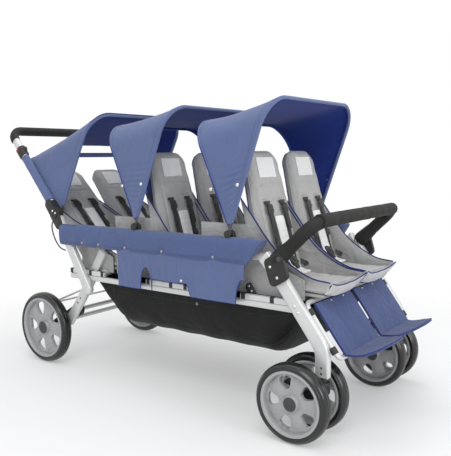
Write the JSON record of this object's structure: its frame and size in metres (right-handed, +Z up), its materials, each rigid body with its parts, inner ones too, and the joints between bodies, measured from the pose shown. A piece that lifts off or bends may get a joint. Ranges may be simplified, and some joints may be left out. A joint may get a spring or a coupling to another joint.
{
  "type": "six-seat stroller",
  "caption": "Long folding pram for six children: three rows of paired seats, blue canopies, twin swivel front wheels, basket below and a rear push handle.",
  "frame": {"origin": "on the floor, under the middle of the bounding box", "axes": "+X the way it rolls, +Y its left side, +Z up"},
  "size_m": [1.7081, 0.753, 1.0541],
  "materials": {
    "silver_paint": "satin silver paint",
    "dark_metal": "black coated wire",
    "black_plastic": "moulded black",
    "foam": "closed-cell foam",
    "tyre_rubber": "matt",
    "rim_plastic": "grey moulded",
    "blue_cloth": "woven slate blue",
    "seat_cloth": "woven warm grey",
    "black_cloth": "woven black"
  },
  "bodies": {
    "chassis": {"lower_rail_left": "silver_paint", "lower_rail_right": "silver_paint", "rear_leg_left": "silver_paint", "rear_leg_right": "silver_paint", "rear_wheel_bracket_left": "black_plastic", "rear_wheel_bracket_right": "black_plastic", "rear_cross_tube_upper": "silver_paint", "rear_cross_tube_lower": "silver_paint", "basket": "black_cloth", "seat_frame_front": "silver_paint", "seat_frame_middle": "silver_paint", "seat_frame_rear": "silver_paint", "seat_pan_front": "seat_cloth", "seat_pan_middle": "seat_cloth", "seat_pan_rear": "seat_cloth"},
    "front_legs": {"front_leg_left": "silver_paint", "front_leg_right": "silver_paint", "grab_bar": "foam", "footrest_frame": "silver_paint", "footrest_left": "blue_cloth", "footrest_right": "blue_cloth"},
    "upper_frame": {"upper_rail_left": "silver_paint", "upper_rail_right": "silver_paint", "side_bolster_left": "blue_cloth", "side_bolster_right": "blue_cloth", "canopy_rear_bow_front": "black_plastic", "canopy_rear_bow_middle": "black_plastic", "canopy_cloth_front": "blue_cloth", "canopy_cloth_middle": "blue_cloth"},
    "rear_uprights": {"rear_upright_left": "silver_paint", "rear_upright_right": "silver_paint", "canopy_cloth_rear": "blue_cloth"},
    "push_handle": {"handle_frame": "silver_paint", "handle_grip": "foam"},
    "brake": {"brake_bar": "dark_metal"},
    "release_left": {"release_slide_left": "black_plastic"},
    "release_right": {"release_slide_right": "black_plastic"},
    "caster_left": {"caster_fork_left": "black_plastic"},
    "front_wheel_left_outer": {"tyre_front_left_outer": "tyre_rubber", "rim_front_left_outer": "rim_plastic"},
    "front_wheel_left_inner": {"tyre_front_left_inner": "tyre_rubber", "rim_front_left_inner": "rim_plastic"},
    "rear_wheel_left": {"tyre_rear_left": "tyre_rubber", "rim_rear_left": "rim_plastic"},
    "caster_right": {"caster_fork_right": "black_plastic"},
    "front_wheel_right_outer": {"tyre_front_right_outer": "tyre_rubber", "rim_front_right_outer": "rim_plastic"},
    "front_wheel_right_inner": {"tyre_front_right_inner": "tyre_rubber", "rim_front_right_inner": "rim_plastic"},
    "rear_wheel_right": {"tyre_rear_right": "tyre_rubber", "rim_rear_right": "rim_plastic"},
    "seat_back_front_left": {"seat_back_front_left": "seat_cloth"},
    "seat_back_front_right": {"seat_back_front_right": "seat_cloth"},
    "seat_back_middle_left": {"seat_back_middle_left": "seat_cloth"},
    "seat_back_middle_right": {"seat_back_middle_right": "seat_cloth"},
    "seat_back_rear_left": {"seat_back_rear_left": "seat_cloth"},
    "seat_back_rear_right": {"seat_back_rear_right": "seat_cloth"},
    "canopy_bow_front": {"canopy_front_bow_front": "dark_metal"},
    "canopy_bow_middle": {"canopy_front_bow_middle": "dark_metal"},
    "canopy_bow_rear": {"canopy_front_bow_rear": "dark_metal"}
  },
  "joints": [
    {"name": "chassis_fold", "type": "hinge", "parent": "chassis", "child": "front_legs", "pos_m": [0.60658, 0, 0.388], "axis": [0, 1, 0], "range_deg": [-40, 0]},
    {"name": "upper_frame_link", "type": "hinge", "parent": "front_legs", "child": "upper_frame", "pos_m": [0.49438, 0, 0.545], "axis": [0, 1, 0], "range_deg": [0, 40]},
    {"name": "upright_link", "type": "hinge", "parent": "chassis", "child": "rear_uprights", "pos_m": [-0.37362, 0, 0.388], "axis": [0, 1, 0], "range_deg": [-40, 0]},
    {"name": "handle_fold", "type": "hinge", "parent": "rear_uprights", "child": "push_handle", "pos_m": [-0.54002, 0, 0.642], "axis": [0, 1, 0], "range_deg": [-60, 0], "deforming": ["canopy_cloth_rear"]},
    {"name": "foot_brake", "type": "hinge", "parent": "chassis", "child": "brake", "pos_m": [-0.41302, 0, 0.345], "axis": [0, 1, 0], "range_deg": [-12, 0]},
    {"name": "release_left", "type": "slide", "parent": "push_handle", "child": "release_left", "axis": [-0.6521, 0, 0.7581], "range_m": [0, 0.02], "stiffness_N_per_m": 300, "springref_m": -0.004},
    {"name": "release_right", "type": "slide", "parent": "push_handle", "child": "release_right", "axis": [-0.6521, 0, 0.7581], "range_m": [0, 0.02], "stiffness_N_per_m": 300, "springref_m": -0.004},
    {"name": "caster_swivel_left", "type": "hinge", "parent": "front_legs", "child": "caster_left", "pos_m": [0.68698, 0.294, 0.198], "axis": [0, 0, 1], "continuous": true},
    {"name": "front_wheel_left_outer_spin", "type": "hinge", "parent": "caster_left", "child": "front_wheel_left_outer", "pos_m": [0.61698, 0.354, 0.12393], "axis": [0, 1, 0], "continuous": true},
    {"name": "front_wheel_left_inner_spin", "type": "hinge", "parent": "caster_left", "child": "front_wheel_left_inner", "pos_m": [0.61698, 0.234, 0.12393], "axis": [0, 1, 0], "continuous": true},
    {"name": "rear_wheel_left_spin", "type": "hinge", "parent": "chassis", "child": "rear_wheel_left", "pos_m": [-0.64702, 0.2925, 0.14872], "axis": [0, 1, 0], "continuous": true},
    {"name": "caster_swivel_right", "type": "hinge", "parent": "front_legs", "child": "caster_right", "pos_m": [0.68698, -0.294, 0.198], "axis": [0, 0, 1], "continuous": true},
    {"name": "front_wheel_right_outer_spin", "type": "hinge", "parent": "caster_right", "child": "front_wheel_right_outer", "pos_m": [0.61698, -0.354, 0.12393], "axis": [0, 1, 0], "continuous": true},
    {"name": "front_wheel_right_inner_spin", "type": "hinge", "parent": "caster_right", "child": "front_wheel_right_inner", "pos_m": [0.61698, -0.234, 0.12393], "axis": [0, 1, 0], "continuous": true},
    {"name": "rear_wheel_right_spin", "type": "hinge", "parent": "chassis", "child": "rear_wheel_right", "pos_m": [-0.64702, -0.2925, 0.14872], "axis": [0, 1, 0], "continuous": true},
    {"name": "recline_front_left", "type": "hinge", "parent": "chassis", "child": "seat_back_front_left", "pos_m": [0.39798, 0, 0.437], "axis": [0, 1, 0], "range_deg": [-27, 0]},
    {"name": "recline_front_right", "type": "hinge", "parent": "chassis", "child": "seat_back_front_right", "pos_m": [0.39798, 0, 0.437], "axis": [0, 1, 0], "range_deg": [-27, 0]},
    {"name": "recline_middle_left", "type": "hinge", "parent": "chassis", "child": "seat_back_middle_left", "pos_m": [-0.03202, 0, 0.437], "axis": [0, 1, 0], "range_deg": [-27, 0]},
    {"name": "recline_middle_right", "type": "hinge", "parent": "chassis", "child": "seat_back_middle_right", "pos_m": [-0.03202, 0, 0.437], "axis": [0, 1, 0], "range_deg": [-27, 0]},
    {"name": "recline_rear_left", "type": "hinge", "parent": "chassis", "child": "seat_back_rear_left", "pos_m": [-0.46202, 0, 0.437], "axis": [0, 1, 0], "range_deg": [0, 27]},
    {"name": "recline_rear_right", "type": "hinge", "parent": "chassis", "child": "seat_back_rear_right", "pos_m": [-0.46202, 0, 0.437], "axis": [0, 1, 0], "range_deg": [0, 27]},
    {"name": "canopy_fold_front", "type": "hinge", "parent": "upper_frame", "child": "canopy_bow_front", "pos_m": [0.34198, 0, 0.6155], "axis": [0, 1, 0], "range_deg": [-38, 0], "deforming": ["canopy_cloth_front"]},
    {"name": "canopy_fold_middle", "type": "hinge", "parent": "upper_frame", "child": "canopy_bow_middle", "pos_m": [-0.08802, 0, 0.6155], "axis": [0, 1, 0], "range_deg": [-38, 0], "deforming": ["canopy_cloth_middle"]},
    {"name": "canopy_fold_rear", "type": "hinge", "parent": "rear_uprights", "child": "canopy_bow_rear", "pos_m": [-0.54002, 0, 0.642], "axis": [0, 1, 0], "range_deg": [-50, 0], "deforming": ["canopy_cloth_rear"]}
  ],
  "couplings": [
    {"joint": "upper_frame_link", "follows": "chassis_fold", "ratio": -1},
    {"joint": "upright_link", "follows": "chassis_fold", "ratio": 1}
  ]
}
